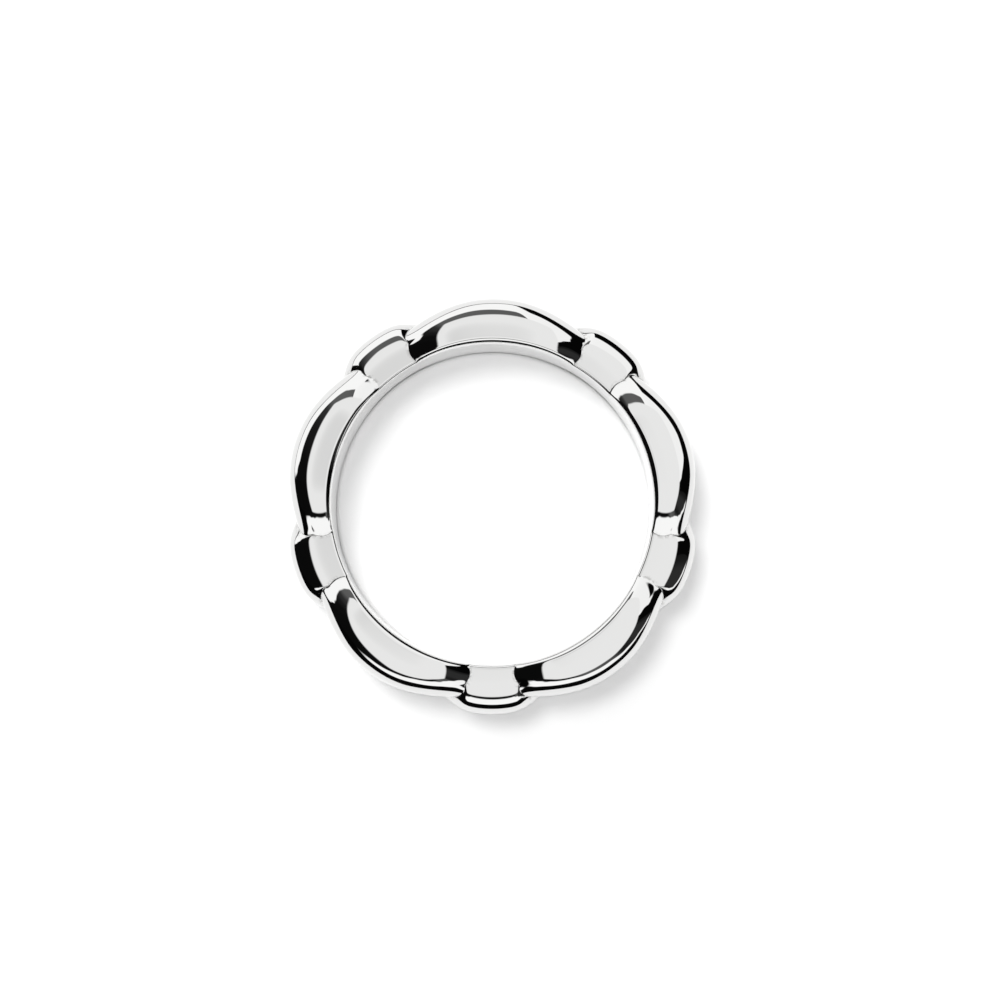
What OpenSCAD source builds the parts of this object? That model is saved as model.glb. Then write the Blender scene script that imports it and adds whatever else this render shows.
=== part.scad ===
// Chain link ring: five long links and five short links in one closed band, one solid casting.
// Millimetres. The finger hole runs along Z, and the ring lies on its side, its middle at the origin.
// Each link swells out of a shared waist section, so neighbours meet in one seam line that is
// straight across the side faces and bows out round the short link on the outside.

/* [Ring] */
// inside diameter, the finger hole
bore_d = 17.2; // [14:0.1:22]
// how many long links go round, with one short link after each
link_pairs = 5; // [4:1:7]
// turn of the first long link round the finger, in degrees from +X
first_turn = 90; // [0:5:355]

/* [Long links] */
// width of a long link along the finger
long_w = 5; // [4.4:0.1:8]
// radial thickness of a long link at its middle
long_t = 2.58; // [2:0.02:3.2]
// rounding of a long link's inner edge, beside the finger
long_edge = 0.38; // [0.1:0.02:0.44]
// squareness of a long link's section: 2 is an ellipse, more is boxier
long_square = 4.3; // [3:0.1:8]
// how late a long link's ends drop: more keeps the side face flat for longer
long_drop = 5.5; // [3:0.5:10]
// the same for the shoulder below the side face, which starts to drop sooner
shoulder_drop = 2.6; // [2:0.1:6]
// fullness of a long link's outline: 2 is a plain bow, more is fuller towards the ends
long_bow = 2.1; // [1.8:0.1:3]

/* [Short links] */
// width of a short link along the finger
short_w = 3.8; // [2.6:0.1:4.2]
// radial thickness of a short link at its middle
short_t = 2.64; // [2.1:0.02:3.2]
// rounding of a short link's inner edge, beside the finger
short_edge = 0.16; // [0.06:0.02:0.3]
// squareness of a short link's section
short_square = 3.8; // [3:0.1:8]
// length of a short link's side face along the finger hole's edge
short_face_l = 2.5; // [1.6:0.1:4]
// how much the long links' ends pinch the middle of that face, each side
short_pinch = 0.16; // [0:0.02:0.3]
// length of a short link's foot at its bulge, halfway along the finger
short_bulge_l = 5.33; // [4.2:0.01:7]
// how square a short link's corners are beside its face, seen along the finger
short_corner = 16.5; // [4:0.5:20]
// how square a short link's bulge is halfway along the finger: 2 is a plain dome
short_dome = 2.4; // [2:0.1:4]
// how much lower a short link is at its ends than in its middle, as a share of its swell
short_bow = 0.25; // [0:0.05:0.5]
// how far the last short link sits from its even place, in degrees against the count
short_nudge = 2.4; // [0:0.2:4]

/* [Waist between links] */
// radial thickness of the band at the seam between two links
waist_t = 2; // [1.4:0.02:2.1]
// squareness of the waist section
waist_square = 3.8; // [3:0.1:8]
// how late the seam bows outwards below the side face: more keeps it straight for longer
seam_bow = 1.6; // [0.6:0.1:2.4]

/* [Hidden] */
silver = [0.86, 0.86, 0.85];

bore_r = bore_d / 2;
pitch = 360 / link_pairs;
// the side faces are highest at this radius
crown_r = bore_r + 0.5;
// the relief runs this far inside the hole before the hole is cut
overrun = 0.3;
cut_h = long_w + 2;

// shares of the depth down a side: the seam starts to bow, a long link's shoulder is reached, and a
// short link's flank starts and ends softening
seam_start = 0.26;
shoulder_end = 0.5;
flank_start = 0.2;
flank_end = 0.7;
// steepness of a short link's flanks at its face and at its bulge
face_flank = 0.5;
bulge_flank = 1;
// how much softer a long link's end meets the crease: on its face and shoulder, and on the outside
soft_drop = 0.3;
soft_bow = 0.6;
// the pinch ends at this share of the waist's thickness
pinch_end = 0.55;
// the nudge of the last short link fades out over this share of the pitch
nudge_reach = 0.85;

// samples round the upper half of a section
edge_turns = [15, 40, 65, 90];
crown_turns = [87, 81, 75, 68, 60, 50, 40, 30, 20, 10, 3, 0];
long_steps = 20;
short_steps = 12;

// one section's sizes: half width, outer radius, inner edge rounding, squareness
function section(w, t, edge, square) = [w / 2, bore_r + t, edge, square];
long_s = section(long_w, long_t, long_edge, long_square);
short_s = section(short_w, short_t, short_edge, short_square);
waist_s = section(short_w, waist_t, short_edge, waist_square);

function power(x, n) = x <= 0 ? 0 : pow(x, n);
function blend(a, b, k) = a + (b - a) * k;
function share(x, from, to) = min(1, max(0, (x - from) / (to - from)));
function smooth(x, from, to) = let(k = share(x, from, to)) k * k * (3 - 2 * k);
function degrees(arc, r) = arc / r * 180 / PI;

// a point on the inner edge's rounding
function edge_point(s, turn) = [
    bore_r + s[2] * (1 - cos(turn)),
    s[0] - s[2] * (1 - sin(turn))
];

// a point on the face, shoulder and outside, from the crown (90) to halfway along the finger (0)
function crown_point(s, turn) = [
    crown_r + (s[1] - crown_r) * power(cos(turn), 2 / s[3]),
    s[0] * power(sin(turn), 2 / s[3])
];

// the upper half of a section, from inside the hole round to the outside
function upper(s) = concat(
    [[bore_r - overrun, edge_point(s, edge_turns[0])[1]]],
    [for (turn = edge_turns) edge_point(s, turn)],
    [[(bore_r + s[2] + crown_r) / 2, s[0]]],
    [[crown_r, s[0]]],
    [for (turn = crown_turns) crown_point(s, turn)]
);

long_up = upper(long_s);
short_up = upper(short_s);
waist_up = upper(waist_s);
half = len(waist_up);

// how far down the outside a sample of the waist lies: 0 on the side face, 1 halfway along the finger
function depth(j) = j <= len(edge_turns) ? 0 : sqrt(max(0, 1 - pow(waist_up[j][1] / waist_s[0], 2)));

// the pinch is greatest in the middle of the side face
function face_share(j) = share(waist_up[j][0], bore_r, bore_r + waist_t * pinch_end);
function pinch(j) =
    degrees(short_pinch * sin(180 * face_share(j)) * (1 - depth(j)), max(waist_up[j][0], bore_r));

// half the angle that each link takes at a sample
face_half = degrees(short_face_l / 2, bore_r);
bulge_half = degrees(short_bulge_l / 2, bore_r + waist_t);
function short_half(j) =
    blend(face_half, bulge_half, power(share(depth(j), seam_start, 1), seam_bow)) - pinch(j);
function long_half(j) = pitch / 2 - short_half(j);

// swell of a link above the waist, at a share of the way (-1 to 1) from its middle to its seam
function long_out(u, j) = power(1 - pow(abs(u), long_bow), 1 + soft_bow * pow(depth(j), 2));
function long_rise(u, j) =
    let(ease = smooth(depth(j), 0, shoulder_end))
    power(1 - pow(abs(u), blend(long_drop, shoulder_drop, ease)), 1 + soft_drop);
function short_flank(j) = blend(face_flank, bulge_flank, smooth(depth(j), flank_start, flank_end));
function short_out(u, j) =
    power(1 - pow(abs(u), blend(short_corner, short_dome, depth(j))), short_flank(j))
    * (1 - short_bow * u * u);

// a link's sample: radius, height and angle, j along the upper half of the section
function long_sample(u, j) = [
    blend(waist_up[j][0], long_up[j][0], long_out(u, j)),
    blend(waist_up[j][1], long_up[j][1], long_rise(u, j)),
    u * long_half(j)
];
function short_sample(u, j) = [
    blend(waist_up[j][0], short_up[j][0], short_out(u, j)),
    blend(waist_up[j][1], short_up[j][1], short_out(u, j)),
    u * short_half(j)
];

// the last short link sits a little off its even place, and its neighbours give way to it
last_short = first_turn + (link_pairs - 0.5) * pitch;
function off_last(a) = (a - last_short + 540) % 360 - 180;
function nudged(a) =
    let(off = share(abs(off_last(a)), 0, nudge_reach * pitch))
    a - short_nudge * (1 + cos(180 * off)) / 2;

function on_ring(p, turn, side) =
    let(a = nudged(p[2] + turn))
    [p[0] * cos(a), p[0] * sin(a), side * p[1]];

// stations along each link, closer together towards the ends
function long_station(i) = let(x = 2 * i / long_steps - 1) (x + sin(90 * x)) / 2;
function short_station(i) = sin(90 * (2 * i / short_steps - 1));

// all the way round one station: the upper half outwards, then the lower half back
function station(u, turn, is_long) = [
    for (k = [0 : 2 * half - 2])
        let(
            side = k < half ? 1 : -1,
            j = k < half ? k : 2 * half - 2 - k,
            p = is_long ? long_sample(u, j) : short_sample(u, j)
        )
        on_ring(p, turn, side)
];

module relief() {
    stations = [
        for (link = [0 : link_pairs - 1])
            each concat(
                [for (i = [0 : long_steps - 1]) station(long_station(i), first_turn + link * pitch, true)],
                [for (i = [0 : short_steps - 1])
                    station(short_station(i), first_turn + (link + 0.5) * pitch, false)]
            )
    ];
    count = len(stations);
    ring = 2 * half - 1;
    points = [for (s = stations) each s];
    faces = [
        for (a = [0 : count - 1], k = [0 : ring - 1])
            let(b = (a + 1) % count, m = (k + 1) % ring)
            each [
                [a * ring + k, b * ring + k, b * ring + m],
                [a * ring + k, b * ring + m, a * ring + m]
            ]
    ];
    polyhedron(points, faces);
}

module finger_hole() {
    cylinder(h = cut_h, r = bore_r, center = true, $fn = 180);
}

module link_band() {
    color(silver)
        difference() {
            relief();
            finger_hole();
        }
}

link_band();
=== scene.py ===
# %% [markdown]
# # A chain link ring in polished silver
#
# The object is a finger ring lying on its side and seen from above. Its band is a closed chain: five long
# domed links with a short round one between each pair, all cast in one piece and polished like a mirror.
# A mirror has no look of its own, so this lesson spends its effort on two things: a smooth, exact shape, and
# the studio that the metal reflects.
#
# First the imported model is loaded. It fixes the sizes and the place of everything that follows.

# %% Load the frame
import math

import bmesh
import bpy
from mathutils import Matrix, Vector


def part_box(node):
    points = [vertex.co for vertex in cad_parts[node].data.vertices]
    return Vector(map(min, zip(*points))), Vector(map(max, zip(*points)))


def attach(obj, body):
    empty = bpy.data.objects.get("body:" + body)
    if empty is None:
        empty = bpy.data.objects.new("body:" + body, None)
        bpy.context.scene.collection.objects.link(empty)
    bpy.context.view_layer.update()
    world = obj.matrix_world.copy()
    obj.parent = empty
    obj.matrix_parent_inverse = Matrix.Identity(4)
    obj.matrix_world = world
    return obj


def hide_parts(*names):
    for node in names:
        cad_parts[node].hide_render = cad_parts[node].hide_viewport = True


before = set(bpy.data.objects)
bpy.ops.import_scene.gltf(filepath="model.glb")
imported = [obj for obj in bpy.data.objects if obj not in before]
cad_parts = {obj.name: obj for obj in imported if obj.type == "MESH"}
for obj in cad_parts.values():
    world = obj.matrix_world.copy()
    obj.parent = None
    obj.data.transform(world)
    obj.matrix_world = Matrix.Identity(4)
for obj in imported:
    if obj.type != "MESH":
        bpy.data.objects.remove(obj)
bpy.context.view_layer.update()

low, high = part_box("link_band")
MM = 0.001
print("ring, mm:", [round((b - a) / MM, 2) for a, b in zip(low, high)])

# %% [markdown]
# ## Shader maths as plain expressions
#
# A material is a net of small nodes. Drawing each node by hand hides the idea, so two small helpers let the
# lesson write sums instead: a `Wire` stands for one socket, and adding or multiplying wires adds the Math
# nodes. Any other node comes from `Bench.put`, which sets a node's settings first and then its sockets.

# %% A bench of nodes and its wires
class Wire:
    """One output socket, on which sums can be written."""

    def __init__(self, bench, socket):
        self.bench, self.socket = bench, socket

    def sum(self, work, *others):
        return self.bench.put("ShaderNodeMath", {"operation": work}, dict(enumerate((self, *others))))

    def __add__(self, other): return self.sum("ADD", other)
    def __sub__(self, other): return self.sum("SUBTRACT", other)
    def __mul__(self, other): return self.sum("MULTIPLY", other)
    def __truediv__(self, other): return self.sum("DIVIDE", other)
    def __pow__(self, other): return self.sum("POWER", other)
    def __rsub__(self, other): return self.bench.value(other).sum("SUBTRACT", self)
    def __abs__(self): return self.sum("ABSOLUTE")
    __radd__, __rmul__ = __add__, __mul__


class Bench:
    """The node tree of one material or world."""

    def __init__(self, tree):
        self.tree = tree
        tree.nodes.clear()

    def put(self, kind, settings=None, sockets=None, out=0):
        node = self.tree.nodes.new(kind)
        for name, setting in (settings or {}).items():
            if name == "stops":
                self.set_stops(node.color_ramp, setting)
            else:
                setattr(node, name, setting)
        for name, given in (sockets or {}).items():
            if isinstance(given, Wire):
                self.tree.links.new(given.socket, node.inputs[name])
            else:
                node.inputs[name].default_value = given
        return Wire(self, node.outputs[out]) if len(node.outputs) else node

    def set_stops(self, ramp, stops):
        while len(ramp.elements) > 1:
            ramp.elements.remove(ramp.elements[-1])
        for k, (place, colour) in enumerate(stops):
            stop = ramp.elements[0] if k == 0 else ramp.elements.new(place)
            stop.position, stop.color = place, colour

    def value(self, number):
        return self.put("ShaderNodeMath", {"operation": "ADD"}, {0: number, 1: 0.0})

    def split(self, kind, vector):
        """The three parts of a vector or of a colour."""
        first = self.put(kind, sockets={0: vector})
        return [Wire(self, plug) for plug in first.socket.node.outputs]

    def join(self, x, y, z):
        return self.put("ShaderNodeCombineXYZ", sockets={0: x, 1: y, 2: z})

    def step(self, wire, start, end, low=0.0, high=1.0):
        """A smooth step: low where wire is below start, high where it is above end."""
        return self.put(
            "ShaderNodeMapRange",
            {"interpolation_type": "SMOOTHSTEP"},
            {"Value": wire, "From Min": start, "From Max": end, "To Min": low, "To Max": high},
        )

    def mix(self, share, first, second):
        return self.put(
            "ShaderNodeMix", {"data_type": "RGBA"}, {"Factor": share, "A": first, "B": second}, out=2
        )

    def noise(self, place, scale, detail, roughness):
        return self.put(
            "ShaderNodeTexNoise",
            sockets={"Vector": place, "Scale": scale, "Detail": detail, "Roughness": roughness},
        )


# %% [markdown]
# ## The sizes of the band
#
# Seen along the finger, every link has a section like a rounded box: a straight inner wall, a small rounding
# beside the finger, a flat side face, and a shoulder that rolls over to the outside. Three sections are
# enough. Each link swells out of a slimmer *waist*, which its neighbours share, so one row of the table
# belongs to the long links, one to the short ones, and one to the waist between them. All sizes are in
# millimetres, and the finished mesh is scaled to metres at the end.

# %% The three sections
BORE = 8.6
CROWN = BORE + 0.5
WAIST = BORE + 2.0
SHORT_HALF_W = 1.9
SECTIONS = {
    # half width, outer radius, inner edge rounding, squareness
    "long": (2.5, BORE + 2.58, 0.38, 4.3),
    "short": (SHORT_HALF_W, BORE + 2.64, 0.16, 3.8),
    "waist": (SHORT_HALF_W, WAIST, 0.16, 3.8),
}
PAIRS = 5
PITCH = 360 / PAIRS
print("finger hole", 2 * BORE, "mm,", 2 * PAIRS, "links")


# %% [markdown]
# A section's outline could be drawn by hand, but a rule is better, because the three outlines must be cut
# into the same number of steps to be blended. `way` runs from 0, halfway along the inner wall, to 1, halfway
# along the outside. The shoulder is a *superellipse*: squareness 2 would be a plain ellipse, and about 4
# gives the soft box of a polished casting. A superellipse runs off fastest beside the flat face, so its
# steps are crowded together there.

# %% A point on a section's outline
WALL_END, EDGE_END, FACE_END = 0.10, 0.27, 0.32
CROWDING = 1.6


def share_of(x, start, end):
    """How far x has come from start to end, from 0 to 1."""
    return min(1.0, max(0.0, (x - start) / (end - start)))


def outline(way, section):
    """The radius and the height of a point on a section."""
    half_w, outer, edge, square = SECTIONS[section]
    if way <= WALL_END:
        return BORE, (half_w - edge) * way / WALL_END
    if way <= EDGE_END:
        turn = math.pi / 2 * share_of(way, WALL_END, EDGE_END)
        return BORE + edge * (1 - math.cos(turn)), half_w - edge * (1 - math.sin(turn))
    if way <= FACE_END:
        return BORE + edge + (CROWN - BORE - edge) * share_of(way, EDGE_END, FACE_END), half_w
    turn = math.pi / 2 * (1 - share_of(way, FACE_END, 1) ** CROWDING)
    bend = 2 / square
    return (
        CROWN + (outer - CROWN) * max(math.cos(turn), 0) ** bend,
        half_w * max(math.sin(turn), 0) ** bend,
    )


print("shoulder of a long link, mm:", [round(v, 2) for v in outline(0.6, "long")])

# %% [markdown]
# ## Where neighbours meet
#
# On the real ring the seam between two links is straight across the side face and then bows out round the
# short link, because the short link's bulge pushes into the long ones. The seam's angle from the short
# link's middle is therefore worked out for each `way`: it grows with the depth below the face, and a small
# pinch pulls it in at the middle of the face.

# %% The seam's angle from a short link's middle
FACE_LENGTH, BULGE_LENGTH = 2.5, 5.33
PINCH, PINCH_REACH = 0.16, 1.1
SEAM_START, SEAM_BOW = 0.26, 1.6
FACE_HALF = math.degrees(FACE_LENGTH / 2 / BORE)
BULGE_HALF = math.degrees(BULGE_LENGTH / 2 / WAIST)


def depth_of(way):
    """0 on the wall and the side face, 1 halfway along the outside."""
    if way <= EDGE_END:
        return 0.0
    return math.sqrt(max(0.0, 1 - (outline(way, "waist")[1] / SHORT_HALF_W) ** 2))


def seam_angle(way):
    depth, radius = depth_of(way), outline(way, "waist")[0]
    pinch = PINCH * math.sin(math.pi * share_of(radius, BORE, BORE + PINCH_REACH)) * (1 - depth)
    bow = share_of(depth, SEAM_START, 1) ** SEAM_BOW
    return FACE_HALF + (BULGE_HALF - FACE_HALF) * bow - math.degrees(pinch / radius)


print("seam at", round(seam_angle(FACE_END), 1), "degrees on the face,", round(seam_angle(1), 1), "outside")

# %% [markdown]
# ## How a link swells
#
# From its middle to its seam each link sinks back to the waist. `along` runs from -1 at one seam to 1 at the
# other, and the swell is 1 in the middle and 0 at both. A long link is one slow bow on the outside, and its
# side face stays flat for longer and then slopes down onto its neighbour. A short link stands like a pillow
# with steep flanks at its face, and is a plain dome on the outside. Every swell starts from one minus a
# power of `along`: a power of 2 gives a plain bow, and a large one keeps the shape full almost to the seam.

# %% The swell of each kind of link
LONG_BOW, LONG_DROP, SHOULDER_DROP, SHOULDER_END = 2.1, 5.5, 2.6, 0.5
SOFT_BOW, SOFT_DROP = 0.6, 0.3
SHORT_CORNER, SHORT_DOME, SHORT_BOW = 16.5, 2.4, 0.25
FACE_FLANK, BULGE_FLANK, FLANK_START, FLANK_END = 0.5, 1.0, 0.2, 0.7


def blend(first, second, share):
    return first + (second - first) * share


def smooth(x, start, end):
    k = share_of(x, start, end)
    return k * k * (3 - 2 * k)


def long_swell(along, depth):
    """How far a long link swells outwards, and how far up to its side face."""
    drop = blend(LONG_DROP, SHOULDER_DROP, smooth(depth, 0.0, SHOULDER_END))
    out = (1 - abs(along) ** LONG_BOW) ** (1 + SOFT_BOW * depth ** 2)
    return out, (1 - abs(along) ** drop) ** (1 + SOFT_DROP)


def short_swell(along, depth):
    """The same for a short link, which swells alike in both directions."""
    flank = blend(FACE_FLANK, BULGE_FLANK, smooth(depth, FLANK_START, FLANK_END))
    wall = max(0.0, 1 - abs(along) ** blend(SHORT_CORNER, SHORT_DOME, depth)) ** flank
    swell = wall * (1 - SHORT_BOW * along ** 2)
    return swell, swell


print("a long link halfway to its seam:", [round(v, 2) for v in long_swell(0.5, 1)])

# %% [markdown]
# ## The links
#
# A link could be modelled as a subdivided box, but its seams would be hard to keep exact, and a mirror shows
# every bump of a loose cage. Here each link starts as a flat grid, like a sheet of wax: one side runs along
# the link, the other up the section. Pressing the sheet moves each point to its place. How near a point is
# to the seam is kept on it as `crevice`, because the silver is drawn darker and duller in specks there.

# %% Press one pair of links out of grids
FIRST_TURN, ROWS = 90, 57
CREVICE_REACH = 0.22
LINKS = (
    # section, swell, columns of the grid, where its middle lies in degrees from +X
    ("long", long_swell, 90, FIRST_TURN),
    ("short", short_swell, 60, FIRST_TURN + PITCH / 2),
)


def press(bm, section, swell, columns, middle):
    sheet = bmesh.ops.create_grid(bm, x_segments=columns, y_segments=ROWS, size=1)["verts"]
    crevice = bm.verts.layers.float["crevice"]
    for v in sheet:
        # the columns stand closer together towards the seams
        flat = v.co.x
        wave = math.sin(math.pi / 2 * flat)
        along, way = ((flat + wave) / 2 if section == "long" else wave), share_of(v.co.y, -1, 1)
        depth, seam = depth_of(way), seam_angle(way)
        out, rise = swell(along, depth)
        (r0, z0), (r1, z1) = outline(way, "waist"), outline(way, section)
        radius, height = blend(r0, r1, out), blend(z0, z1, rise)
        half_angle = PITCH / 2 - seam if section == "long" else seam
        angle = math.radians(middle + along * half_angle)
        v.co = Vector((radius * math.cos(angle), radius * math.sin(angle), height))
        to_seam = (1 - abs(along)) * math.radians(half_angle) * radius
        v[crevice] = (1 - share_of(to_seam, 0, CREVICE_REACH)) * (1 if way > WALL_END else 0)
    return len(sheet)


band_mesh = bmesh.new()
band_mesh.verts.layers.float.new("crevice")
print("points pressed:", sum(press(band_mesh, *link) for link in LINKS))

# %% [markdown]
# The pair is the upper half of one long and one short link. A chain repeats, so nothing more has to be
# pressed: the pair is mirrored to the ring's other side and spun round five times. Then the rows that touch
# are welded, so that the reflections run on unbroken from link to link, as they do on a casting.

# %% Mirror, spin and weld the band
TOUCHING = 1e-4


def everything(bm):
    return bm.verts[:] + bm.edges[:] + bm.faces[:]


bmesh.ops.mirror(band_mesh, geom=everything(band_mesh), matrix=Matrix(), merge_dist=TOUCHING, axis="Z")
bmesh.ops.spin(
    band_mesh, geom=everything(band_mesh), cent=(0, 0, 0), axis=(0, 0, 1), dvec=(0, 0, 0),
    angle=math.radians(PITCH * (PAIRS - 1)), steps=PAIRS - 1, use_duplicate=True,
)
bmesh.ops.remove_doubles(band_mesh, verts=band_mesh.verts, dist=TOUCHING)
print("points after welding:", len(band_mesh.verts))

# %% [markdown]
# On the real ring the links were set by eye, and the short link at the upper right sits a little off its even
# place. The finished band is bent the same way: each point near that link turns a little round the finger,
# most at the link's middle and not at all beyond its neighbours, so that no seam opens.

# %% Nudge the last short link
LAST_SHORT, NUDGE, REACH = FIRST_TURN + PITCH * (PAIRS - 0.5), -2.4, 0.85 * PITCH
for v in band_mesh.verts:
    off = (math.degrees(math.atan2(v.co.y, v.co.x)) - LAST_SHORT + 540) % 360 - 180
    if abs(off) < REACH:
        turn_by = NUDGE * (1 + math.cos(math.pi * off / REACH)) / 2
        v.co = Matrix.Rotation(math.radians(turn_by), 3, "Z") @ v.co
bmesh.ops.scale(band_mesh, vec=(MM, MM, MM), verts=band_mesh.verts)
bmesh.ops.recalc_face_normals(band_mesh, faces=band_mesh.faces)
open_edges = [e for e in band_mesh.edges if not e.is_manifold]
print("faces:", len(band_mesh.faces), "open edges:", len(open_edges), "volume, mm3:",
      round(band_mesh.calc_volume() / MM ** 3, 1))


# %% [markdown]
# The finished mesh becomes an object at the origin. It stands for the node of the imported model, rides on the
# one body that the ring has, and wears a silver material of its own.

# %% The band as an object
def make_piece(bm, name, material):
    for face in bm.faces:
        face.smooth = True
    mesh = bpy.data.meshes.new(name)
    bm.to_mesh(mesh)
    bm.free()
    mesh.materials.append(material)
    piece = bpy.data.objects.new(name, mesh)
    bpy.context.collection.objects.link(piece)
    return piece


def new_material(name):
    material = bpy.data.materials.new(name)
    material.use_nodes = True
    return material, Bench(material.node_tree)


silver, bench = new_material("polished_silver")
band = make_piece(band_mesh, "silver_band", silver)
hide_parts("link_band")
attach(band, "root")
print(band.name, "stands for link_band")

# %% [markdown]
# ## The silver
#
# Polished silver reflects nearly everything, evenly in all colours, so most of its look is the studio's. What
# makes it metal and not a perfect mirror is small: a casting that was polished by hand is very slightly wavy,
# the wheel leaves faint lines that run round the finger inside the band, the polish is a little hazier in
# patches, and in the crevices between the links the silver is drawn darker and duller in specks. All of it is
# read from the place of a point on the ring, so that it stays on the metal in every view.

# %% Places to read the patterns from
INNER_WALL = ((BORE + 0.02) * MM, (BORE + 0.10) * MM)
place = bench.put("ShaderNodeTexCoord", out=3)
x, y, z = bench.split("ShaderNodeSeparateXYZ", place)
radius = (x * x + y * y) ** 0.5
crevice = bench.put("ShaderNodeAttribute", {"attribute_name": "crevice"}, out=2)
inner = bench.step(radius, *INNER_WALL, 1.0, 0.0)
print("inner wall up to", [round(r / MM, 2) for r in INNER_WALL], "mm from the middle")

# %% [markdown]
# Each trace is a noise of its own size. The wheel's lines are the same noise stretched along the wheel's
# way: it changes slowly round the finger and very fast along it. The darker marks keep to the crevices and
# show only in specks.

# %% Waves of the casting, lines of the wheel, haze of the polish
PATTERNS = {
    # how fine it is, layers of detail, strength of the finer layers
    "waves": (420, 1.0, 0.4),
    "haze": (900, 4.0, 0.6),
    "specks": (5200, 2.0, 0.6),
}
ROUND_FINGER, ALONG_FINGER = 2.2, 26000
SEAM_MARK_SPECKS = (0.42, 0.62)
waves, haze, specks = [bench.noise(place, *row) for row in PATTERNS.values()]
lines_at = bench.join(x / radius * ROUND_FINGER, y / radius * ROUND_FINGER, z * ALONG_FINGER)
lines = bench.noise(lines_at, 1.0, 2.0, 0.55)
# the silver is drawn darker and duller in specks along the seams between the links
seam_marks = crevice ** 2.0 * bench.step(specks, *SEAM_MARK_SPECKS)
print("patterns:", ", ".join(PATTERNS), "and wheel lines")

# %% [markdown]
# The traces meet in three sockets. The colour darkens in the specks by the seams. The roughness starts from a
# high polish and rises with haze, those seam specks and wheel lines. The bump is only a few thousandths of a
# millimetre deep, just enough to keep the edges of the reflections from being ruled lines.

# %% The silver's colour, gloss and relief
SILVER, SEAM_MARK_GREY, SEAM_MARK_COVER = (0.74, 0.74, 0.735, 1), (0.30, 0.295, 0.285, 1), 0.55
POLISH, HAZE_ROUGH, SEAM_MARK_ROUGH, LINES_ROUGH = 0.014, 0.022, 0.16, 0.05
LINES_DEEP, PITS_DEEP, BUMP_DEPTH = 0.02, 0.003, 0.006 * MM
HAZE_PATCHES, PITS = (0.45, 0.75), (0.60, 0.80)
# the seam specks darken the silver's colour towards a grey
metal_colour = bench.mix(seam_marks * SEAM_MARK_COVER, SILVER, SEAM_MARK_GREY)
gloss = (
    POLISH + bench.step(haze, *HAZE_PATCHES) * HAZE_ROUGH + seam_marks * SEAM_MARK_ROUGH
    + inner * (lines * LINES_ROUGH)
)
relief = waves + inner * (lines * LINES_DEEP) + bench.step(specks, *PITS) * PITS_DEEP
bumps = bench.put("ShaderNodeBump", sockets={"Height": relief, "Distance": BUMP_DEPTH, "Strength": 1.0})
metal = bench.put("ShaderNodeBsdfPrincipled", sockets={
    "Base Color": metal_colour, "Metallic": 1.0, "Roughness": gloss, "Normal": bumps,
})
bench.put("ShaderNodeOutputMaterial", sockets={"Surface": metal})
print("silver:", len(bench.tree.nodes), "nodes")

# %% [markdown]
# ## The table
#
# The ring lies on a white sheet that runs on past the picture's edge. It is matte, because a glossy table
# would show a second ring. The metal's sides look down at this sheet, so it is also what makes the outline
# of the ring bright.

# %% A white sheet under the ring
SHEET_RADIUS, SHEET_SIDES = 1.4, 96
PAPER_SHADES = ((0.885, 0.885, 0.885, 1), (0.90, 0.90, 0.90, 1))
paper, bench = new_material("white_paper")
place = bench.put("ShaderNodeTexCoord", out=3)
fibre = bench.noise(place, 900, 3.0, 0.6)
sheet_face = bench.put("ShaderNodeBsdfDiffuse", sockets={"Color": bench.mix(fibre, *PAPER_SHADES)})
bench.put("ShaderNodeOutputMaterial", sockets={"Surface": sheet_face})
sheet_mesh = bmesh.new()
bmesh.ops.create_circle(sheet_mesh, cap_ends=True, segments=SHEET_SIDES, radius=SHEET_RADIUS)
bmesh.ops.translate(sheet_mesh, vec=(0, 0, low.z), verts=sheet_mesh.verts)
bmesh.ops.recalc_face_normals(sheet_mesh, faces=sheet_mesh.faces)
sheet = make_piece(sheet_mesh, "table_sheet", paper)
print("table at", round(low.z / MM, 2), "mm")

# %% [markdown]
# ## The studio that the metal reflects
#
# A jeweller's photographer hangs a soft box straight above the ring and stands cards round it: white ones
# give the bright bands, and the dark gaps between them draw the shape. The cards could be planes in the
# scene, but a world that is painted by direction does the same and is easier to tune. The table below goes
# round the ring. `turn` is the direction in degrees from +X, and for each one a white card reaches from one
# angle below the zenith to another. `gap` is how bright it is between the soft box and the card.

# %% Cards round the ring
CARDS = (
    # turn, gap, card's upper edge, card's lower edge, card's brightness
    (0, 0.003, 5, 12, 1.17),
    (8, 0.003, 5, 28, 1.17),
    (17, 0.003, 5, 51, 1.17),
    (26, 0.003, 5, 56, 1.17),
    (54, 0.003, 5, 55, 1.17),
    (72, 0.003, 12, 57, 1.20),
    (82, 0.13, 39, 86, 1.25),
    (104, 0.14, 43, 86, 1.25),
    (124, 0.13, 45, 86, 1.25),
    (138, 0.03, 48, 86, 1.25),
    (152, 0.01, 50, 86, 1.25),
    (165, 0.003, 51, 87, 1.25),
    (174, 0.003, 66, 88, 1.25),
    (180, 0.002, 90, 91, 0),
    (218, 0.002, 50, 51, 0),
    (230, 0.003, 42, 56, 1.25),
    (244, 0.003, 35, 58, 1.25),
    (256, 0.003, 30, 56, 1.25),
    (284, 0.003, 30, 56, 1.25),
    (298, 0.13, 36, 59, 1.25),
    (308, 0.10, 40, 60, 1.25),
    (318, 0.01, 50, 64, 1.20),
    (330, 0.03, 60, 69, 1.17),
    (342, 0.03, 73, 82, 1.17),
    (350, 0.01, 82, 84, 0),
    (354, 0.003, 5, 5.5, 0),
    (360, 0.003, 5, 12, 1.17),
)
world = bpy.data.worlds.new("studio")
bpy.context.scene.world = world
world.use_nodes = True
bench = Bench(world.node_tree)
x, y, z = bench.split("ShaderNodeSeparateXYZ", bench.put("ShaderNodeTexCoord", out=0))
IN_DEGREES = 180 / math.pi
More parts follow.
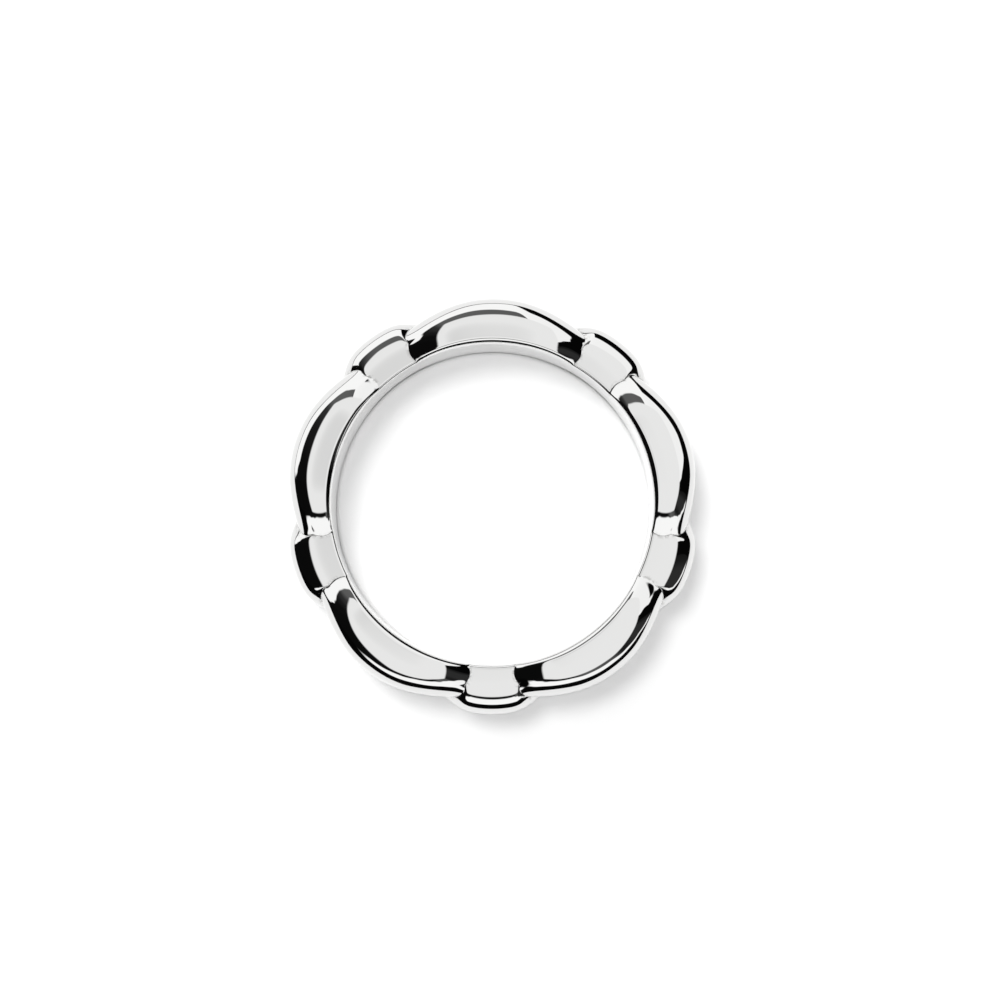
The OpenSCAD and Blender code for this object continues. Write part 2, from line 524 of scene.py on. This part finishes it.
turn = (y.sum("ARCTAN2", x) * IN_DEGREES + 360).sum("FLOORED_MODULO", 360.0)
from_zenith = z.sum("ARCCOSINE") * IN_DEGREES
print("rows of cards:", len(CARDS))

# %% [markdown]
# A node can't look into a table, but a colour ramp can hold one: its stops are the table's directions, and
# its red and green carry one column each. A stop holds 0 to 1, so the angles go in as hundredths and the
# brightness as a half, and both are scaled back afterwards. The ramp eases from row to row, so the cards
# have soft, curved ends.

# %% Read the table with colour ramps
TURN, GAP, UPPER, LOWER, BRIGHTNESS = range(5)
ANGLE_SCALE, LIGHT_SCALE = 0.01, 0.5
UPPER_SOFT, LOWER_SOFT = 4.0, 3.0


def read_cards(*columns):
    """Two columns of the table as wires. Each is given with its scale."""
    stops = [(row[TURN] / 360, [row[c] * scale for c, scale in columns] + [0, 1]) for row in CARDS]
    ramp = bench.put("ShaderNodeValToRGB", {"stops": stops}, {"Fac": turn / 360})
    ramp.socket.node.color_ramp.interpolation = "EASE"
    return bench.split("ShaderNodeSeparateColor", ramp)[:2]


def band_edge(angle, soft):
    """0 above the edge and 1 below it, soft degrees wide."""
    return bench.step((from_zenith - angle) / soft, -0.5, 0.5)


gap, brightness = read_cards((GAP, 1.0), (BRIGHTNESS, LIGHT_SCALE))
upper, lower = read_cards((UPPER, ANGLE_SCALE), (LOWER, ANGLE_SCALE))
below_upper = band_edge(upper * (1 / ANGLE_SCALE), UPPER_SOFT)
above_lower = 1 - band_edge(lower * (1 / ANGLE_SCALE), LOWER_SOFT)
card_light = below_upper * above_lower * brightness * (1 / LIGHT_SCALE)
gap_light = gap * (1 - below_upper)
print("cards read:", len(bench.tree.nodes), "nodes so far")

# %% [markdown]
# The soft box is an oblong with its long side across the picture's height, a little dimmer at one spot where
# the camera stands in its light. Only the metal's reflections see the box and the cards. For the camera's own
# rays the world is a plain pale backdrop, so that the ring can be looked at from the side as well, and the
# table is lit by a dim room and by lamps of its own, so that each can be set without changing the other.

# %% The soft box overhead
BOX_MIDDLE, BOX_HALF_X, BOX_HALF_Y, BOX_SOFT = 2.4, 17.9, 22.0, 3.0
SHADE_X, SHADE_Y, SHADE_EDGE, SHADE_LIGHT = -3.0, 4.0, (1.0, 7.5), (0.90, 1.07)
DARKEST, DIM_ROOM = 0.002, 0.1
degrees_x = x.sum("ARCTAN2", z) * IN_DEGREES
degrees_y = y.sum("ARCTAN2", z) * IN_DEGREES


def inside(angle, half_width):
    return bench.step(abs(angle), half_width - BOX_SOFT / 2, half_width + BOX_SOFT / 2, 1.0, 0.0)


box_mask = (
    inside(degrees_x - BOX_MIDDLE, BOX_HALF_X) * inside(degrees_y, BOX_HALF_Y)
    * z.sum("GREATER_THAN", 0.0)
)
from_shade = ((degrees_x - SHADE_X) ** 2.0 + (degrees_y - SHADE_Y) ** 2.0) ** 0.5
box_light = box_mask * bench.step(from_shade, *SHADE_EDGE, *SHADE_LIGHT)
studio_light = (card_light + gap_light) * (1 - box_mask) + box_light + DARKEST
seen = bench.put("ShaderNodeLightPath", out=0)
mirrored = bench.put("ShaderNodeLightPath", out=3)
strength = mirrored * studio_light + (1 - mirrored) * (seen * (1 - DIM_ROOM) + DIM_ROOM)
glow = bench.put("ShaderNodeBackground", sockets={"Color": (1, 1, 1, 1), "Strength": strength})
bench.put("ShaderNodeOutputWorld", sockets={"Surface": glow})
print("studio:", len(bench.tree.nodes), "nodes")

# %% [markdown]
# Three soft lamps light the table alone. One stands high at the upper left and gives the short shadow at the
# lower right and inside the ring, a weaker one stands lower and draws that shadow's tail out, and one hangs
# overhead and keeps it pale. They are hidden from reflections, because the metal already has its cards.

# %% Lamps for the table
LAMPS = {
    # turn, height in degrees, distance, width, power in watts
    "window_lamp": (130, 73, 1.2, 0.36, 6.4),
    "tent_lamp": (90, 90, 1.6, 0.18, 14.2),
    "corner_lamp": (120, 50, 1.2, 0.60, 3.4),
}
for name, (lamp_turn, lamp_height, distance, width, power) in LAMPS.items():
    lamp = bpy.data.lights.new(name, "AREA")
    lamp.shape, lamp.size, lamp.energy = "DISK", width, power
    holder = bpy.data.objects.new(name, lamp)
    bpy.context.collection.objects.link(holder)
    a, e = math.radians(lamp_turn), math.radians(lamp_height)
    towards = Vector((math.cos(a) * math.cos(e), math.sin(a) * math.cos(e), math.sin(e)))
    holder.location = towards * distance
    holder.rotation_euler = towards.to_track_quat("Z", "Y").to_euler()
    holder.visible_glossy = holder.visible_camera = False
    print(name, "at", [round(v, 3) for v in holder.location])

# %% [markdown]
# ## The camera
#
# The photograph was taken from almost straight above, a little from the picture's lower edge, so the inner
# wall shows most at the top. The distance follows from how much larger the near rim of the finger hole is
# than the far one. The camera is turned, not shifted, until the ring's middle falls on the same point of the
# picture as in the photograph. Points of the picture are counted from its upper left corner.

# %% Camera over the ring
PICTURE, RING_ACROSS, RING_DOWN = 1000, 492.4, 506.2
FOCAL_PIXELS, DISTANCE, SENSOR = 2619, 142 * MM, 36
lean_down, lean_right = math.radians(2.6), math.radians(0.44)
back = Vector((math.sin(lean_right), -math.sin(lean_down), 0))
back.z = math.sqrt(1 - back.x ** 2 - back.y ** 2)
side = Vector((0, 1, 0)).cross(back).normalized()
stand = Matrix((side, back.cross(side), back)).transposed().to_4x4()
aim = Matrix.Rotation(math.atan((RING_ACROSS - PICTURE / 2) / FOCAL_PIXELS), 4, "Y")
aim @= Matrix.Rotation(math.atan((RING_DOWN - PICTURE / 2) / FOCAL_PIXELS), 4, "X")
lens = bpy.data.cameras.new("over_the_ring")
lens.sensor_width, lens.lens = SENSOR, FOCAL_PIXELS * SENSOR / PICTURE
lens.clip_start, lens.clip_end = MM, 10
camera = bpy.data.objects.new("over_the_ring", lens)
bpy.context.collection.objects.link(camera)
camera.matrix_world = Matrix.Translation(back * DISTANCE) @ stand @ aim
bpy.context.scene.camera = camera
bpy.context.scene.view_settings.view_transform = "Standard"
print("lens", round(lens.lens, 1), "mm at", round(DISTANCE / MM), "mm")
